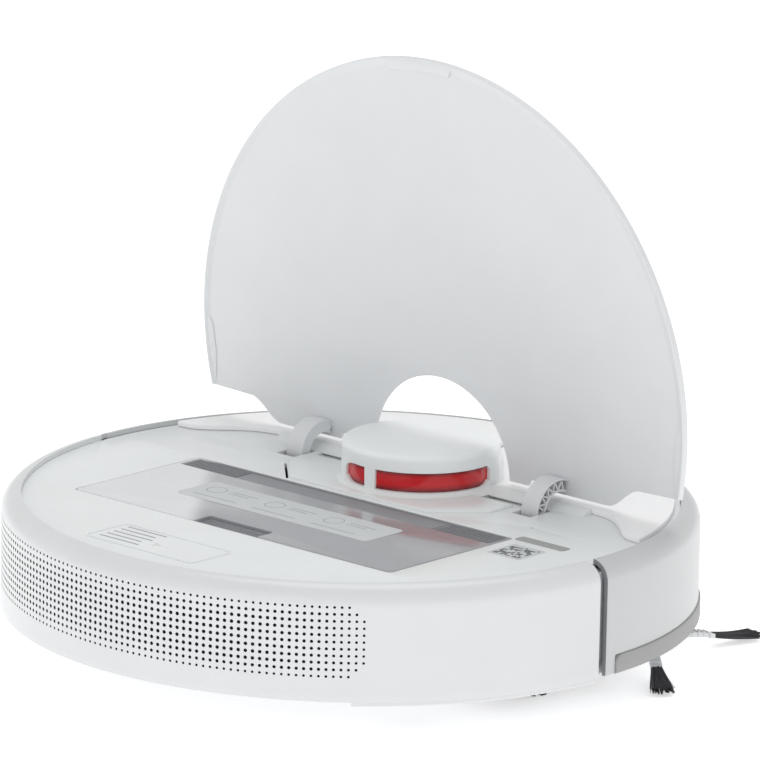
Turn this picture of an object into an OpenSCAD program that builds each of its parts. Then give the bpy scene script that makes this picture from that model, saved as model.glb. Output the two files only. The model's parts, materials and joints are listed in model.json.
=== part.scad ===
// Round robot vacuum cleaner with a turret, an opening lid and a lift-out dustbin.
// Frame: +Y is the driving direction, +X the right-hand side, +Z up, millimetres.
// The origin is on the floor, under the centre of the round body.

/* [Body] */
// Diameter of the round body
body_d = 350; // [346:1:354]
// Height of the side wall's lower edge above the floor
skirt_z = 20; // [19:0.5:21]
// Height of the rim's top edge above the floor
rim_z = 77.5; // [77.3:0.1:78]
// Radius of the rounded shoulder between wall and rim
shoulder_r = 10; // [8:0.5:12]
// Thickness of the outer walls
wall_t = 2.5; // [2:0.1:3]
// Height of the recessed deck's surface above the floor
deck_z = 75; // [74.8:0.1:75.2]
// Width of the gap between bumper and side wall
bumper_gap = 5; // [4.6:0.2:6]
// Distance of the gaps' middle from the side-to-side centre plane
gap_y = -8; // [-10:1:0]
// Height of the soft strip along the bumper's lower edge
strip_h = 9; // [6:0.5:12]

/* [Lid] */
// Radius of the round lid
lid_r = 163; // [161:0.5:163.5]
// Thickness of the lid's panel
lid_t = 2.5; // [2:0.1:3]
// How far the lid stands open at rest, in degrees
lid_open = 86; // [85:0.5:88]
// Distance of the hinge axis in front of the body's centre
hinge_y = 58.5; // [58:0.5:59]
// Height of the hinge axis above the floor
hinge_z = 69.3; // [69:0.1:69.5]
// Distance of each hinge arm from the middle
arm_x = 80; // [79:0.5:81]
// Width of a hinge arm
arm_w = 13.5; // [12:0.5:13.5]

/* [Turret] */
// Outer radius of the turret
tower_r = 40.5; // [39:0.5:41]
// Distance of the turret's axis in front of the body's centre
tower_y = 51; // [50:0.5:51.5]
// Height of the turret's top above the floor
tower_top = 98; // [96:0.5:100]

/* [Dustbin] */
// Half of the dustbin cover's width
bin_half_w = 107; // [105:0.5:107]
// How far the dustbin cover reaches behind the body's centre
bin_back = 88.4; // [87.5:0.1:88.6]
// How far the dustbin cover reaches in front of the body's centre
bin_front = 1.4; // [1:0.1:1.6]

/* [Wheels] */
// Radius of a drive wheel over its tread
wheel_r = 32; // [31:0.5:32]
// Width of a drive wheel's tyre
wheel_w = 16; // [14:1:18]
// Distance of a drive wheel's middle from the body's centre
wheel_x = 124; // [123:0.5:124]
// Radius of the caster wheel
caster_r = 13; // [12:0.5:13]
// Distance of the caster's swivel in front of the body's centre
caster_y = 128; // [127:0.5:129]

/* [Brushes] */
// Radius of the main brush over its blades
main_brush_r = 20.5; // [19:0.5:21]
// Distance of the main brush's axis in front of the body's centre
main_brush_y = 22; // [21:0.5:23]
// Height of the main brush's axis above the floor
main_brush_z = 27; // [26.5:0.5:27.5]
// Reach of the side brush's bristles from its axis
side_brush_reach = 70; // [60:1:72]
// Length of the side brush's stiff stems from its axis
side_brush_stem = 40; // [35:1:45]

/* [Hidden] */
$fn = 96;

// Clearances
running = 0.05;
slide_gap = 0.3;
big = 400;

// Body of revolution
body_r = body_d / 2;
wall_in_r = body_r - wall_t;
rim_r = body_r - shoulder_r;
shoulder_z = rim_z - shoulder_r;
deck_t = 3;
deck_low = deck_z - deck_t;
deck_rear_r = rim_r - 0.2;
deck_front_r = rim_r - 3;
cover_t = 3;
ledge_t = 2;

// Base
base_z = 16;
base_t = 3;
floor_z = base_z + base_t;
base_r = wall_in_r - 3;
base_flat_r = base_r - 12;
inner_wall_r = 163.5;
inner_wall_t = 2.5;
pillar_r = 170.5;
strip_start = 0.4;
screw_spots = [[60, -130], [132, -72], [75, 128]];
contact_x = 30;
cliff_angles = [10, 64, 116, 150, 215, 325];

// Lid, in its closed place
lid_low = hinge_z + 9.2;
lid_edge_y = 48.5;
lid_wing_y = 37;
notch_r = 46;
flange_h = 1.9;
arm_in_r = 16;
arm_out_r = 22;
pin_r = 2;
eye_r = 4;

// Turret
window_low = deck_z + 3.6;
window_high = deck_z + 13;
post_t = 2.1;
cap_r = 5;
window_spans = [[-82.5, 100.5], [40, 45], [95, 45], [162, 100.5]];
rotor_hub_r = 22;
rotor_pulley_r = 20;
lidar_motor_x = -50;
lidar_motor_pulley_r = 5;
belt_gap = 0.3;
belt_t = 1.2;

// Dustbin
bin_x = 88;
bin_y0 = -86;
bin_y1 = -12;
bin_low = 24;
bay_gap = 2;

// Brush housing
housing_x = 86;
housing_y0 = -6;
housing_y1 = 44;
housing_top = 48;
brush_half_l = 76;
mouth_x = 60;
mouth_z0 = 34;
mouth_z1 = 46.5;
guard_half_w = 19.3;

// Drive wheels
well_x0 = 106;
well_x1 = 136;
well_y0 = -36;
well_y1 = 54;
well_top = 68;
pivot_y = 44;
pivot_z = 38;
unit_x0 = 107;
unit_x1 = 112.5;
axle_r = 3;
hub_r = 26;
lug_count = 24;

// Caster
caster_trail = 8;
caster_half_w = 6;
stem_r = 4;

// Side brush
side_x = 124;
side_y = 86;
side_motor_r = 9;
arm_angles = [77, 197, 317];

// Fan
fan_y = -125;
fan_r = 32;
impeller_r = 26;
fan_blades = 9;

// Buttons
button_x = 13;
button_y = 118;
button_r = 7;

// Shared helpers
module box(x0, x1, y0, y1, z0, z1)
    translate([x0, y0, z0]) cube([x1 - x0, y1 - y0, z1 - z0]);

module both_sides() {
    children();
    mirror([1, 0, 0]) children();
}

module x_rod(r, x0, x1)
    translate([x0, 0, 0]) rotate([0, 90, 0]) cylinder(r = r, h = x1 - x0);

module tube(r_out, r_in, h)
    difference() {
        cylinder(r = r_out, h = h);
        translate([0, 0, -1]) cylinder(r = r_in, h = h + 2);
    }

module ring(r_out, r_in, z0, z1)
    translate([0, 0, z0]) tube(r_out, r_in, z1 - z0);

module rear_half() box(-big, big, -big, gap_y - bumper_gap / 2, -1, big);

module front_half() box(-big, big, gap_y + bumper_gap / 2, big, -1, big);

// Outer wall with its quarter-round shoulder, as a profile to be revolved
module wall_profile() {
    translate([wall_in_r, skirt_z]) square([wall_t, shoulder_z - skirt_z]);
    translate([rim_r, shoulder_z])
        intersection() {
            difference() {
                circle(r = shoulder_r);
                circle(r = shoulder_r - wall_t);
            }
            square(shoulder_r + 1);
        }
}

// Base: a saucer-shaped floor, an inner wall, wheel wells and the brush housing
module base_shell()
    color("lightgray")
    difference() {
        union() {
            rotate_extrude()
                polygon([
                    [0, base_z], [base_flat_r, base_z], [base_r, skirt_z],
                    [base_r, skirt_z + base_t], [base_flat_r, floor_z], [0, floor_z]
                ]);
            ring(inner_wall_r, inner_wall_r - inner_wall_t, floor_z, deck_low);
            intersection() {
                ring(wall_in_r, base_r - 1, skirt_z, skirt_z + 4);
                rear_half();
            }
            both_sides() {
                box(well_x0 - 2, well_x1 + 2, well_y0 - 2, well_y1 + 2, floor_z - 1, well_top + 2);
                box(inner_wall_r - 1, pillar_r, gap_y - 6, gap_y + 6, skirt_z + 1, deck_low);
                for (p = screw_spots)
                    translate([p[0], p[1], floor_z - 1]) cylinder(r = 4, h = 12);
            }
            box(-housing_x - 2, housing_x + 2, housing_y0 - 2, housing_y1 + 2,
                floor_z - 1, housing_top + 2);
            translate([side_x, side_y, floor_z - 1]) cylinder(r = side_motor_r, h = 4);
        }
        both_sides() {
            box(well_x0, well_x1, well_y0, well_y1, 0, well_top);
            translate([0, pivot_y, pivot_z]) x_rod(pin_r + 0.03, well_x0 - 3, well_x0 + 1);
            for (p = screw_spots)
                translate([p[0], p[1], 0]) cylinder(r = 1.6, h = floor_z + 8);
            translate([0, gap_y, skirt_z + 6]) x_rod(1.6, pillar_r - 5, pillar_r + 1);
            box(contact_x - 10.2, contact_x + 10.2, 141.8, 150.2, 0, base_z + 1.5);
        }
        box(-housing_x, housing_x, housing_y0, housing_y1, 0, housing_top);
        box(-mouth_x, mouth_x, housing_y0 - 3, housing_y0 + 1, mouth_z0, mouth_z1);
        translate([side_x, side_y, 0]) cylinder(r = 4, h = floor_z + 10);
        translate([0, caster_y, 0]) cylinder(r = 24, h = floor_z + 5);
        for (a = cliff_angles)
            rotate([0, 0, a]) box(140, 150, -6, 6, 0, floor_z + 1);
    }

module side_skirt()
    color("white")
    intersection() {
        rotate_extrude() wall_profile();
        rear_half();
    }

// Tapered strip that carries the deck up to the front cover
module cover_ramp()
    rotate([90, 0, 90])
        translate([0, 0, -105])
            linear_extrude(210)
                polygon([[57, deck_z - 0.5], [69.5, deck_z - 0.5], [69.5, deck_z + cover_t], [57, deck_z]]);

module tower_keepout() translate([0, tower_y, 0]) cylinder(r = tower_r + 0.5, h = big);

module top_deck()
    color("lightgray")
    difference() {
        union() {
            translate([0, 0, deck_low]) cylinder(r = deck_front_r, h = deck_t);
            intersection() {
                translate([0, 0, deck_low]) cylinder(r = deck_rear_r, h = deck_t);
                rear_half();
            }
            difference() {
                union() {
                    cover_ramp();
                    translate([0, 0, deck_z - 0.5])
                        linear_extrude(1.7)
                            polygon([
                                [-46, 4.5], [46, 4.5], [68, 26.5], [68, 45.5],
                                [-68, 45.5], [-68, 26.5]
                            ]);
                }
                tower_keepout();
            }
        }
        difference() {
            box(-71, 71, 46, 57, deck_z - 1.5, big);
            tower_keepout();
        }
        box(-bin_half_w - 0.4, bin_half_w + 0.4, -bin_back - 0.4, bin_front + 0.4, 0, big);
        both_sides()
            box(arm_x - arm_w / 2 - 0.8, arm_x + arm_w / 2 + 0.8, hinge_y - arm_out_r - 0.8,
                hinge_y - 13, 0, big);
        both_sides()
            box(arm_x - 6.3, arm_x + 6.3, hinge_y - 5, hinge_y + 5, 0, hinge_z + eye_r + 0.4);
        translate([0, tower_y, 0]) cylinder(r = rotor_hub_r + running, h = big);
        both_sides() translate([button_x, button_y, 0]) cylinder(r = 4, h = big);
    }

module front_cover()
    color("white")
    translate([0, 0, deck_z])
        linear_extrude(cover_t)
            difference() {
                intersection() {
                    circle(r = deck_front_r);
                    polygon([
                        [-105, 69.5], [105, 69.5], [113, 66.5], [122, 60.5], [131, 52.5],
                        [141, 43.5], [149, 38.6], [200, 38.4], [200, 200], [-200, 200],
                        [-200, 38.4], [-149, 38.6], [-141, 43.5], [-131, 52.5],
                        [-122, 60.5], [-113, 66.5]
                    ]);
                }
                translate([0, tower_y]) circle(r = tower_r + 0.5);
                translate([button_x, button_y]) circle(r = button_r + slide_gap);
                translate([-button_x, button_y]) circle(r = button_r + slide_gap);
            }

// Well that the dustbin drops into, with a ledge that its cover rests on
module dustbin_bay()
    color("gray")
    difference() {
        union() {
            box(-bin_x - 4, bin_x + 4, bin_y0 - 4, bin_y1 + 4, 21, deck_low - ledge_t);
            box(-bin_half_w - 3, bin_half_w + 3, -bin_back - 2.6, bin_front + 2.6,
                deck_low - ledge_t, deck_low);
        }
        box(-bin_x - bay_gap, bin_x + bay_gap, bin_y0 - bay_gap, bin_y1 + bay_gap, 23, big);
        box(-mouth_x, mouth_x, bin_y1, bin_y1 + 5, mouth_z0, mouth_z1);
        box(-25, 25, bin_y0 - 5, bin_y0, mouth_z0, 56);
    }

// Base ring, thin wall and rounded cap of the turret, as a profile to be revolved
module tower_profile() {
    wall_in = tower_r - post_t;
    polygon(concat(
        [[tower_r - 6, deck_z], [tower_r, deck_z]],
        [for (k = [0:6]) [tower_r - cap_r + cap_r * cos(15 * k), window_high + 4 + cap_r * sin(15 * k)]],
        [
            [26, tower_top], [0, tower_top], [0, window_high + 6.8], [wall_in, window_high + 6.8],
            [wall_in, window_low - 0.4], [tower_r - 6, window_low - 0.4]
        ]
    ));
}

// Turret: the wall is cut away in four window openings, which leaves four posts
module tower_housing()
    color("white")
    translate([0, tower_y, 0])
        difference() {
            rotate_extrude() tower_profile();
            for (a = window_spans)
                rotate([0, 0, a[0]])
                    rotate_extrude(angle = a[1])
                        translate([tower_r - 3, window_low]) square([4, window_high - window_low]);
        }

module lidar_window()
    color("firebrick")
    translate([0, tower_y, 0])
        ring(tower_r - post_t - 0.1, tower_r - post_t - 1.5, window_low - 0.4, window_high + 2);

// Pancake motor beside the turret, under the deck
module lidar_motor()
    color("dimgray")
    translate([lidar_motor_x, tower_y, 0]) {
        translate([0, 0, 54]) cylinder(r = 8, h = 8.5);
        translate([0, 0, 62]) cylinder(r = 1.5, h = 8);
    }

// Flat belt round both pulleys
module lidar_belt()
    color("black")
    translate([0, tower_y, 65])
        linear_extrude(3)
            difference() {
                belt_loop(belt_gap + belt_t);
                belt_loop(belt_gap);
            }

module belt_loop(extra)
    hull() {
        circle(r = rotor_pulley_r + extra);
        translate([lidar_motor_x, 0]) circle(r = lidar_motor_pulley_r + extra);
    }

// Two pairs of ears under the deck that hold the hinge pins
module hinge_brackets()
    color("silver")
    both_sides()
        difference() {
            union() {
                box(arm_x - 11, arm_x - 7.4, hinge_y - 5, hinge_y + 5, hinge_z - 6, deck_low);
                box(arm_x + 7.4, arm_x + 11, hinge_y - 5, hinge_y + 5, hinge_z - 6, deck_low);
            }
            translate([0, hinge_y, hinge_z]) x_rod(pin_r + 0.03, arm_x - 14, arm_x + 14);
        }

module hinge_pins()
    color("silver")
    both_sides()
        translate([0, hinge_y, hinge_z]) x_rod(pin_r, arm_x - 12.5, arm_x + 12.5);

module battery_pack()
    color("royalblue")
    difference() {
        box(-52, 56, 60, 98, floor_z, 50);
        for (k = [1:3])
            box(-52 + 27 * k - 0.5, -52 + 27 * k + 0.5, 58, 100, 47, 51);
    }

module circuit_boards() {
    color("darkgreen") {
        box(-60, 60, 62, 100, 54, 55.6);
        box(-26, 26, 108, 128, 60, 61.6);
    }
    color("black") {
        box(-20, 0, 70, 90, 55.6, 58);
        box(14, 34, 72, 82, 55.6, 57.5);
        both_sides() box(button_x - 3, button_x + 3, button_y - 3, button_y + 3, 61.6, 66);
    }
}

// Blower casing with its inlet duct to the dustbin bay
module fan_housing()
    color("dimgray")
    difference() {
        union() {
            translate([0, fan_y, floor_z]) cylinder(r = fan_r, h = 41);
            box(-28, 28, fan_y + 20, bin_y0 - 4, 30, 59);
        }
        translate([0, fan_y, floor_z + 2]) cylinder(r = fan_r - 2, h = 37);
        box(-24, 24, fan_y + 15, bin_y0, mouth_z0, 55);
        box(-20, 20, fan_y - 60, fan_y - 20, 32, 56);
    }

module fan_motor()
    color("silver")
    translate([0, fan_y, floor_z + 2]) {
        cylinder(r = 14, h = 12);
        cylinder(r = 2, h = 30);
    }

module bumper_switches()
    color("black")
    both_sides()
        box(50, 60, 155.9, 158.6, 40, 50);

module speaker()
    color("black")
    translate([-100, 98, floor_z]) {
        cylinder(r = 14, h = 6);
        cylinder(r = 10, h = 10);
    }

module charge_contacts()
    color("goldenrod")
    both_sides()
        box(contact_x - 10, contact_x + 10, 142, 150, base_z - 0.5, base_z + 1.4);

module cliff_sensors()
    color("black")
    for (a = cliff_angles)
        rotate([0, 0, a]) box(140.1, 149.9, -5.9, 5.9, base_z + 0.3, floor_z + 0.9);

// Frame round the main brush's opening, flush under the base
module main_brush_guard()
    color("dimgray")
    difference() {
        box(-housing_x + 0.2, housing_x - 0.2, housing_y0 + 0.2, housing_y1 - 0.2, base_z - 1.5, floor_z);
        box(-brush_half_l - 2, brush_half_l + 2, main_brush_y - guard_half_w,
            main_brush_y + guard_half_w, 0, big);
    }

module main_brush_bearings()
    color("dimgray")
    both_sides()
        difference() {
            box(78.5, housing_x, main_brush_y - 9, main_brush_y + 9, floor_z, 38);
            translate([0, main_brush_y, main_brush_z]) x_rod(4 + running, 70, housing_x + 1);
        }

module main_brush_drive()
    color("dimgray") {
        box(-102, -housing_x - 2, 10, 76, floor_z, 48);
        translate([0, 66, 36]) x_rod(10, -housing_x - 2.5, -58);
    }

module side_brush_motor()
    color("dimgray")
    translate([side_x, side_y, 0])
        difference() {
            translate([0, 0, floor_z + 3]) cylinder(r = side_motor_r, h = 26);
            cylinder(r = 3 + running, h = 36);
        }

// Bell over the caster, with the bore that its stem turns in
module caster_socket()
    color("dimgray")
    translate([0, caster_y, 0])
        difference() {
            translate([0, 0, floor_z]) cylinder(r = 26, h = 31);
            cylinder(r = 24, h = 34);
            cylinder(r = stem_r + running, h = 48);
        }

module case_screws()
    color("silver")
    both_sides() {
        for (p = screw_spots)
            translate([p[0], p[1], 0]) {
                translate([0, 0, base_z - 1.4]) cylinder(r = 3, h = 1.4);
                translate([0, 0, base_z - 0.5]) cylinder(r = 1.5, h = 9);
            }
        translate([0, gap_y, skirt_z + 6]) {
            x_rod(1.5, pillar_r - 4.5, pillar_r + 0.5);
            x_rod(2.2, pillar_r, pillar_r + 1.4);
        }
    }

module suspension_pins()
    color("silver")
    both_sides()
        translate([0, pivot_y, pivot_z]) x_rod(pin_r, well_x0 - 2, unit_x1 + 0.8);

module wheel_spring()
    color("silver")
    translate([(unit_x0 + unit_x1) / 2, 4, 46.2]) tube(2.6, 1.6, well_top - 46.2);

module left_wheel_spring() mirror([1, 0, 0]) wheel_spring();

module right_wheel_spring() wheel_spring();

// Everything on the lid is drawn closed and then swung open about the hinge
module swung_open()
    translate([0, hinge_y, hinge_z])
        rotate([-lid_open, 0, 0])
            translate([0, -hinge_y, -hinge_z]) children();

module lid_outline()
    difference() {
        circle(r = lid_r);
        polygon([
            [-200, lid_wing_y], [-132, lid_wing_y], [-127, lid_wing_y + 1.5], [-117, lid_edge_y - 1.8],
            [-111, lid_edge_y], [111, lid_edge_y], [117, lid_edge_y - 1.8], [127, lid_wing_y + 1.5],
            [132, lid_wing_y], [200, lid_wing_y], [200, 200], [-200, 200]
        ]);
        translate([0, lid_edge_y]) circle(r = notch_r);
        translate([-19, -lid_r - 2]) square([38, 4.2]);
    }

module lid_panel()
    color("gainsboro")
    swung_open() {
        translate([0, 0, lid_low]) linear_extrude(lid_t) lid_outline();
        translate([0, 0, lid_low - flange_h])
            linear_extrude(flange_h + 0.5)
                intersection() {
                    lid_outline();
                    difference() {
                        circle(r = lid_r);
                        circle(r = lid_r - 2);
                    }
                }
    }

// Goose-neck arm: an arc about the hinge axis that dips through a slot in the deck
module hinge_arm()
    color("gainsboro")
    swung_open()
        difference() {
            translate([arm_x, hinge_y, hinge_z]) {
                rotate([90, 0, 90])
                    translate([0, 0, -arm_w / 2]) {
                        rotate([0, 0, 138])
                            rotate_extrude(angle = 216)
                                translate([arm_in_r, 0]) square([arm_out_r - arm_in_r, arm_w]);
                    }
                x_rod(eye_r, -5.5, 5.5);
                box(-5.5, 5.5, 2, arm_in_r + 1, -6, 0);
                box(-9, 9, -34, -13, 7.6, 9.2);
            }
            translate([arm_x, hinge_y, hinge_z]) x_rod(pin_r + 0.06, -10, 10);
            box(-big, big, -big, big, lid_low, lid_low + big);
        }

module right_hinge_arm() hinge_arm();

module left_hinge_arm() mirror([1, 0, 0]) hinge_arm();

module strip_zone(r_in, r_out, a0, a1)
    rotate([0, 0, a0])
        rotate_extrude(angle = a1 - a0)
            translate([r_in, skirt_z - 1]) square([r_out - r_in, strip_h + 1]);

module bumper()
    color("white") {
        difference() {
            intersection() {
                rotate_extrude() wall_profile();
                front_half();
            }
            strip_zone(body_r - 1.3, body_r + 5, strip_start, 180 - strip_start);
        }
        both_sides()
            intersection() {
                box(50, 60, 161.5, 167, 40, 50);
                cylinder(r = body_r - 1, h = 100);
            }
    }

module bumper_strip()
    color("darkgray")
    rotate([0, 0, strip_start])
        rotate_extrude(angle = 180 - 2 * strip_start)
            translate([body_r - 1.3, skirt_z]) square([2.3, strip_h]);

// Turning platform of the turret, with its hub and pulley in one piece
module lidar_rotor()
    color("black")
    translate([0, tower_y, 0]) {
        translate([0, 0, 79]) cylinder(r = 32, h = 2);
        translate([0, 0, 69]) cylinder(r = rotor_hub_r, h = 11);
        translate([0, 0, 64]) cylinder(r = rotor_pulley_r, h = 6);
    }

module lidar_head()
    color("black")
    translate([0, tower_y, 81])
        difference() {
            cylinder(r = 29, h = 6.5);
            box(-30, 30, -30, -20, -1, 8);
            for (x = [-11, 11])
                translate([x, -16, 3.2]) rotate([90, 0, 0]) cylinder(r = 2.6, h = 12);
        }

module lidar_lenses()
    color("darkslateblue")
    translate([0, tower_y, 81])
        for (x = [-11, 11])
            translate([x, -16, 3.2])
                rotate([90, 0, 0]) {
                    cylinder(r = 2.5, h = 4);
                    translate([0, 0, 3]) cylinder(r1 = 2.5, r2 = 1.4, h = 1.6);
                }

module lidar_pulley()
    color("dimgray")
    translate([lidar_motor_x, tower_y, 64])
        tube(lidar_motor_pulley_r, 1.5 + running, 5);

module dustbin_body()
    color("lightsteelblue", 0.7)
    difference() {
        box(-bin_x, bin_x, bin_y0, bin_y1, bin_low, deck_low);
        box(-bin_x + 2, bin_x - 2, bin_y0 + 2, bin_y1 - 2, bin_low + 2, big);
        box(-mouth_x, mouth_x, bin_y1 - 3, bin_y1 + 1, mouth_z0, mouth_z1);
        box(-25, 25, bin_y0 - 1, bin_y0 + 3, mouth_z0, 56);
    }

module dustbin_cover()
    color("silver")
    difference() {
        box(-bin_half_w, bin_half_w, -bin_back, bin_front, deck_low, deck_z);
        box(-bin_half_w + 2, bin_half_w - 2, bin_front - 16, bin_front - 1, deck_z - 1.4, big);
        box(-25, 19, -bin_back - 1, -bin_back + 12, deck_z - 2.2, big);
    }

module dustbin_handle()
    color("gray")
    difference() {
        box(-bin_half_w + 2.1, bin_half_w - 2.1, bin_front - 15.9, bin_front - 1.1,
            deck_z - 1.4, deck_z);
        both_sides()
            for (k = [0:7])
                box(74 + 3.6 * k, 75.4 + 3.6 * k, bin_front - 14, bin_front - 3, deck_z - 0.5, big);
    }

module dustbin_latch()
    color("dimgray")
    box(-23, 17, -bin_back + 1.5, -bin_back + 11.5, deck_z - 2.2, deck_z - 0.9);

module dustbin_filter()
    color("whitesmoke")
    difference() {
        box(-40, 40, bin_y0 + 2, bin_y0 + 9, bin_low + 4, 66);
        for (k = [0:12])
            box(-37 + 6 * k, -34 + 6 * k, bin_y0 + 5, bin_y0 + 10, bin_low + 6, 64);
    }

module fan_impeller()
    color("black")
    translate([0, fan_y, 0])
        difference() {
            union() {
                translate([0, 0, 36]) cylinder(r = impeller_r, h = 2);
                translate([0, 0, 37]) cylinder(r = 7, h = 12);
                for (k = [0:fan_blades - 1])
                    rotate([0, 0, 360 / fan_blades * k])
                        translate([6, 0, 37]) rotate([0, 0, -25]) box(0, 20, -0.7, 0.7, 0, 10);
            }
            cylinder(r = 2 + running, h = 50.5);
        }

module main_brush_core()
    color("dimgray")
    translate([0, main_brush_y, main_brush_z]) {
        x_rod(11, -brush_half_l, brush_half_l);
        x_rod(4, -brush_half_l - 8, brush_half_l + 8);
    }

// Rubber sleeve with straight blades
module main_brush_blades()
    color("orangered")
    translate([0, main_brush_y, main_brush_z])
        difference() {
            union() {
                x_rod(13, -brush_half_l + 2, brush_half_l - 2);
                for (k = [0:5])
                    rotate([60 * k, 0, 0])
                        box(-brush_half_l + 2, brush_half_l - 2, -1, 1, 12, main_brush_r);
            }
            x_rod(11.05, -brush_half_l, brush_half_l);
        }

// Hub with three stiff stems
module side_brush_hub()
    color("white")
    translate([side_x, side_y, 0]) {
        difference() {
            translate([0, 0, 8]) cylinder(r = 9, h = 6);
            cylinder(r = 3.6, h = 10.5);
        }
        translate([0, 0, 13]) cylinder(r = 3, h = 20);
        for (a = arm_angles)
            rotate([0, 0, a]) box(8, side_brush_stem, -3, 3, 8, 11.5);
    }

module side_brush_bristles()
    color("dimgray")
    translate([side_x, side_y, 0])
        for (a = arm_angles)
            rotate([0, 0, a])
                hull() {
                    box(side_brush_stem, side_brush_stem + 1, -2.5, 2.5, 8.2, 11.2);
                    box(side_brush_reach - 1, side_brush_reach, -5.5, 5.5, 1.5, 2.5);
                }

module side_brush_screw()
    color("silver")
    translate([side_x, side_y, 8.5]) cylinder(r = 3.4, h = 2);

module caster_fork()
    color("dimgray")
    translate([0, caster_y, 0])
        difference() {
            union() {
                translate([0, 0, 27.5]) cylinder(r = 21, h = 4.5);
                translate([0, 0, 31]) cylinder(r = stem_r, h = 16);
                both_sides()
                    box(caster_half_w + 1, caster_half_w + 4, -caster_trail - 7, 6, 8, 28);
            }
            translate([0, -caster_trail, caster_r]) x_rod(2 + running, -20, 20);
        }

module caster_axle()
    color("silver")
    translate([0, caster_y - caster_trail, caster_r])
        x_rod(2, -caster_half_w - 4, caster_half_w + 4);

module caster_wheel()
    color("black")
    translate([0, caster_y - caster_trail, caster_r])
        difference() {
            x_rod(caster_r, -caster_half_w, caster_half_w);
            x_rod(2 + running, -caster_half_w - 1, caster_half_w + 1);
            both_sides()
                translate([caster_half_w - 1.5, 0, 0])
                    rotate([0, 90, 0]) tube(9, 5, 3);
        }

module button(x)
    color("whitesmoke")
    translate([x, button_y, 0]) {
        translate([0, 0, deck_z + 1.4]) cylinder(r = button_r, h = 2);
        translate([0, 0, 67.4]) cylinder(r = 2.5, h = 9.5);
    }

module power_button() button(-button_x);

module home_button() button(button_x);

// Swing arm with its gear case and the wheel's stub axle
module drive_unit()
    color("dimgray")
    difference() {
        union() {
            translate([0, 0, wheel_r]) x_rod(14, unit_x0, unit_x1);
            translate([0, pivot_y, pivot_z]) x_rod(7, unit_x0, unit_x1);
            translate([0, 0, wheel_r])
                rotate([atan((pivot_z - wheel_r) / pivot_y), 0, 0])
                    box(unit_x0, unit_x1, 0, 44, -6, 7);
            translate([0, 0, wheel_r]) x_rod(axle_r, unit_x1 - 1, wheel_x + wheel_w / 2 - 1);
        }
        translate([0, pivot_y, pivot_z]) x_rod(pin_r + 0.06, unit_x0 - 1, unit_x1 + 1);
    }

module wheel_hub()
    color("gray")
    translate([0, 0, wheel_r])
        difference() {
            x_rod(hub_r, wheel_x - wheel_w / 2 + 1, wheel_x + wheel_w / 2 - 1);
            x_rod(axle_r + running, wheel_x - 20, wheel_x + 20);
            translate([wheel_x + wheel_w / 2 - 3, 0, 0]) rotate([0, 90, 0]) tube(22, 8, 4);
        }

module wheel_tyre()
    color("black")
    translate([wheel_x - wheel_w / 2, 0, wheel_r])
        difference() {
            union() {
                x_rod(wheel_r - 1.6, 0, wheel_w);
                for (k = [0:lug_count - 1])
                    rotate([360 / lug_count * k, 0, 0])
                        box(1, wheel_w - 1, -1.7, 1.7, wheel_r - 4, wheel_r);
            }
            x_rod(hub_r, -1, wheel_w + 1);
        }

module right_drive_unit() drive_unit();

module right_wheel_hub() wheel_hub();

module right_wheel_tyre() wheel_tyre();

module left_drive_unit() mirror([1, 0, 0]) drive_unit();

module left_wheel_hub() mirror([1, 0, 0]) wheel_hub();

module left_wheel_tyre() mirror([1, 0, 0]) wheel_tyre();

base_shell();
side_skirt();
top_deck();
front_cover();
dustbin_bay();
tower_housing();
lidar_window();
lidar_motor();
lidar_belt();
hinge_brackets();
hinge_pins();
battery_pack();
circuit_boards();
fan_housing();
fan_motor();
bumper_switches();
speaker();
charge_contacts();
cliff_sensors();
main_brush_guard();
main_brush_bearings();
main_brush_drive();
side_brush_motor();
caster_socket();
case_screws();
suspension_pins();
left_wheel_spring();
right_wheel_spring();
lid_panel();
left_hinge_arm();
right_hinge_arm();
bumper();
bumper_strip();
lidar_rotor();
lidar_head();
lidar_lenses();
lidar_pulley();
dustbin_body();
dustbin_cover();
dustbin_handle();
dustbin_latch();
dustbin_filter();
fan_impeller();
main_brush_core();
main_brush_blades();
side_brush_hub();
side_brush_bristles();
side_brush_screw();
caster_fork();
caster_axle();
caster_wheel();
power_button();
home_button();
left_drive_unit();
left_wheel_hub();
left_wheel_tyre();
right_drive_unit();
right_wheel_hub();
right_wheel_tyre();
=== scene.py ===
"""Looks of a round robot vacuum cleaner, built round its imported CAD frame.

Sizes are in millimetres until they reach a mesh, and angles are in degrees.
"""

import json
import random
from math import asin, atan2, cos, degrees, pi, radians, sin, sqrt

import bmesh
import bpy
from mathutils import Matrix, Vector


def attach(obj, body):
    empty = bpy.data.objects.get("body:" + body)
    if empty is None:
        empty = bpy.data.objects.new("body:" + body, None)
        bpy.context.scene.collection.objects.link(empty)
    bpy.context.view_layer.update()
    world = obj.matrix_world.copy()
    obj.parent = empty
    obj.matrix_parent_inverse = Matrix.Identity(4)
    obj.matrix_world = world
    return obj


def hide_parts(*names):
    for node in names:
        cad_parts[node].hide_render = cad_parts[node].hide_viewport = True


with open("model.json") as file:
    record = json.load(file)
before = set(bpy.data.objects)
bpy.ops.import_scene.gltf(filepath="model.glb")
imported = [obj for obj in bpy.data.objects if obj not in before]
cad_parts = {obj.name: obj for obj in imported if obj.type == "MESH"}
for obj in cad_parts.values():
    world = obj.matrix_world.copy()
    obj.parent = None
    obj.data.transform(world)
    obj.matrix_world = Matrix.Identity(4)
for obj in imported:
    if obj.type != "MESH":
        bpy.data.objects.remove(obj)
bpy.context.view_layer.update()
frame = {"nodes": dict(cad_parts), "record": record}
NODES = frame["nodes"]

MM = 0.001
SMOOTH_LIMIT = 32

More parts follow.
